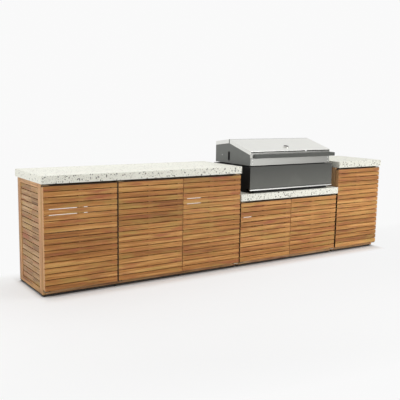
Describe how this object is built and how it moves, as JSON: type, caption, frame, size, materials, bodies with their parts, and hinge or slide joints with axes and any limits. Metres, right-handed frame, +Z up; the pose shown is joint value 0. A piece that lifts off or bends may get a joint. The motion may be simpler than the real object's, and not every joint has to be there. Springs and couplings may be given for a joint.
{
  "type": "outdoor kitchen unit",
  "caption": "Outdoor kitchen: slatted teak cabinets with swing doors under thick stone worktops, and a gas barbecue with a lifting hood, drop-down front and drip tray.",
  "frame": {"origin": "on the floor, below the middle of the overall length and depth", "axes": "+X to the right along the row of cabinets, +Y to the back, +Z up"},
  "size_m": [3.6, 0.63, 1.1262],
  "materials": {
    "stone": "honed terrazzo-like stone, white with grey and black chips",
    "teak_slats": "oiled teak",
    "teak_frame": "weathered teak",
    "teak_boards": "plain teak board",
    "stainless": "brushed stainless steel",
    "fittings": "plain stainless steel",
    "graphite": "graphite powder coat",
    "firebox_steel": "heat-proof black enamel",
    "cast_iron": "matt enamelled cast iron",
    "brass": "plain brass",
    "bearing": "dark bearing plastic",
    "knob": "dark plastic",
    "rubber": "black rubber"
  },
  "bodies": {
    "cabinets": {"worktop_left": "stone", "worktop_middle": "stone", "worktop_right": "stone", "left_cabinet_frame": "teak_frame", "left_cabinet_side_slats": "teak_frame", "left_cabinet_dividers": "teak_boards", "middle_cabinet_frame": "teak_frame", "right_cabinet_frame": "teak_frame", "right_cabinet_side_slats": "teak_frame", "cabinet_floors": "teak_boards", "cabinet_shelves": "teak_boards", "cabinet_back_slats": "teak_slats", "floor_glides": "rubber", "door_pivot_brackets": "fittings", "door_catches": "bearing", "connector_bolts": "fittings", "barbecue_base_rails": "firebox_steel", "barbecue_firebox": "firebox_steel", "barbecue_control_box": "firebox_steel", "barbecue_rim": "graphite", "barbecue_support_bars": "firebox_steel", "barbecue_burners": "fittings", "barbecue_gas_manifold": "fittings", "barbecue_gas_inlet": "brass", "barbecue_flame_tamers": "fittings", "barbecue_cooking_plates": "cast_iron", "hood_hinge_brackets": "fittings"},
    "door_1": {"door_1_slats": "teak_slats", "door_1_stiles": "teak_frame", "door_1_fittings": "bearing"},
    "door_2": {"door_2_slats": "teak_slats", "door_2_stiles": "teak_frame", "door_2_fittings": "bearing"},
    "door_3": {"door_3_slats": "teak_slats", "door_3_stiles": "teak_frame", "door_3_fittings": "bearing"},
    "door_4": {"door_4_slats": "teak_slats", "door_4_stiles": "teak_frame", "door_4_fittings": "bearing"},
    "door_5": {"door_5_slats": "teak_slats", "door_5_stiles": "teak_frame", "door_5_fittings": "bearing"},
    "door_6": {"door_6_slats": "teak_slats", "door_6_stiles": "teak_frame", "door_6_fittings": "bearing"},
    "hood": {"hood_top_sheet": "stainless", "hood_rear_cap": "stainless", "hood_end_panels": "graphite", "hood_front_panel": "stainless", "hood_handle_bar": "graphite", "hood_handle_brackets": "stainless", "hood_gauge": "fittings"},
    "front_flap": {"barbecue_front_flap": "graphite"},
    "drip_tray": {"drip_tray_pan": "fittings", "drip_tray_lip": "stainless"},
    "knob_1": {"barbecue_knob_1": "knob"},
    "knob_2": {"barbecue_knob_2": "knob"},
    "knob_3": {"barbecue_knob_3": "knob"},
    "knob_4": {"barbecue_knob_4": "knob"},
    "knob_5": {"barbecue_knob_5": "knob"}
  },
  "joints": [
    {"name": "door_1_hinge", "type": "hinge", "parent": "cabinets", "child": "door_1", "pos_m": [-1.77, -0.2685, 0.052], "axis": [0, 0, -1], "range_deg": [0, 110]},
    {"name": "door_2_hinge", "type": "hinge", "parent": "cabinets", "child": "door_2", "pos_m": [-1.17467, -0.2685, 0.052], "axis": [0, 0, -1], "range_deg": [0, 90]},
    {"name": "door_3_hinge", "type": "hinge", "parent": "cabinets", "child": "door_3", "pos_m": [-0.018, -0.2685, 0.052], "axis": [0, 0, 1], "range_deg": [0, 90]},
    {"name": "door_4_hinge", "type": "hinge", "parent": "cabinets", "child": "door_4", "pos_m": [0.022, -0.2685, 0.052], "axis": [0, 0, -1], "range_deg": [0, 90]},
    {"name": "door_5_hinge", "type": "hinge", "parent": "cabinets", "child": "door_5", "pos_m": [1.17, -0.2685, 0.052], "axis": [0, 0, 1], "range_deg": [0, 90]},
    {"name": "door_6_hinge", "type": "hinge", "parent": "cabinets", "child": "door_6", "pos_m": [1.778, -0.2685, 0.052], "axis": [0, 0, 1], "range_deg": [0, 110]},
    {"name": "hood_hinge", "type": "hinge", "parent": "cabinets", "child": "hood", "pos_m": [0.605, 0.292, 0.912], "axis": [-1, 0, 0], "range_deg": [0, 85]},
    {"name": "front_flap_hinge", "type": "hinge", "parent": "cabinets", "child": "front_flap", "pos_m": [0.605, -0.268, 0.709], "axis": [1, 0, 0], "range_deg": [0, 90]},
    {"name": "drip_tray_slide", "type": "slide", "parent": "cabinets", "child": "drip_tray", "axis": [0, -1, 0], "range_m": [0, 0.4]},
    {"name": "knob_1_turn", "type": "hinge", "parent": "cabinets", "child": "knob_1", "pos_m": [0.245, -0.233, 0.79], "axis": [0, -1, 0], "range_deg": [0, 220]},
    {"name": "knob_2_turn", "type": "hinge", "parent": "cabinets", "child": "knob_2", "pos_m": [0.425, -0.233, 0.79], "axis": [0, -1, 0], "range_deg": [0, 220]},
    {"name": "knob_3_turn", "type": "hinge", "parent": "cabinets", "child": "knob_3", "pos_m": [0.605, -0.233, 0.79], "axis": [0, -1, 0], "range_deg": [0, 220]},
    {"name": "knob_4_turn", "type": "hinge", "parent": "cabinets", "child": "knob_4", "pos_m": [0.785, -0.233, 0.79], "axis": [0, -1, 0], "range_deg": [0, 220]},
    {"name": "knob_5_turn", "type": "hinge", "parent": "cabinets", "child": "knob_5", "pos_m": [0.965, -0.233, 0.79], "axis": [0, -1, 0], "range_deg": [0, 220]}
  ]
}
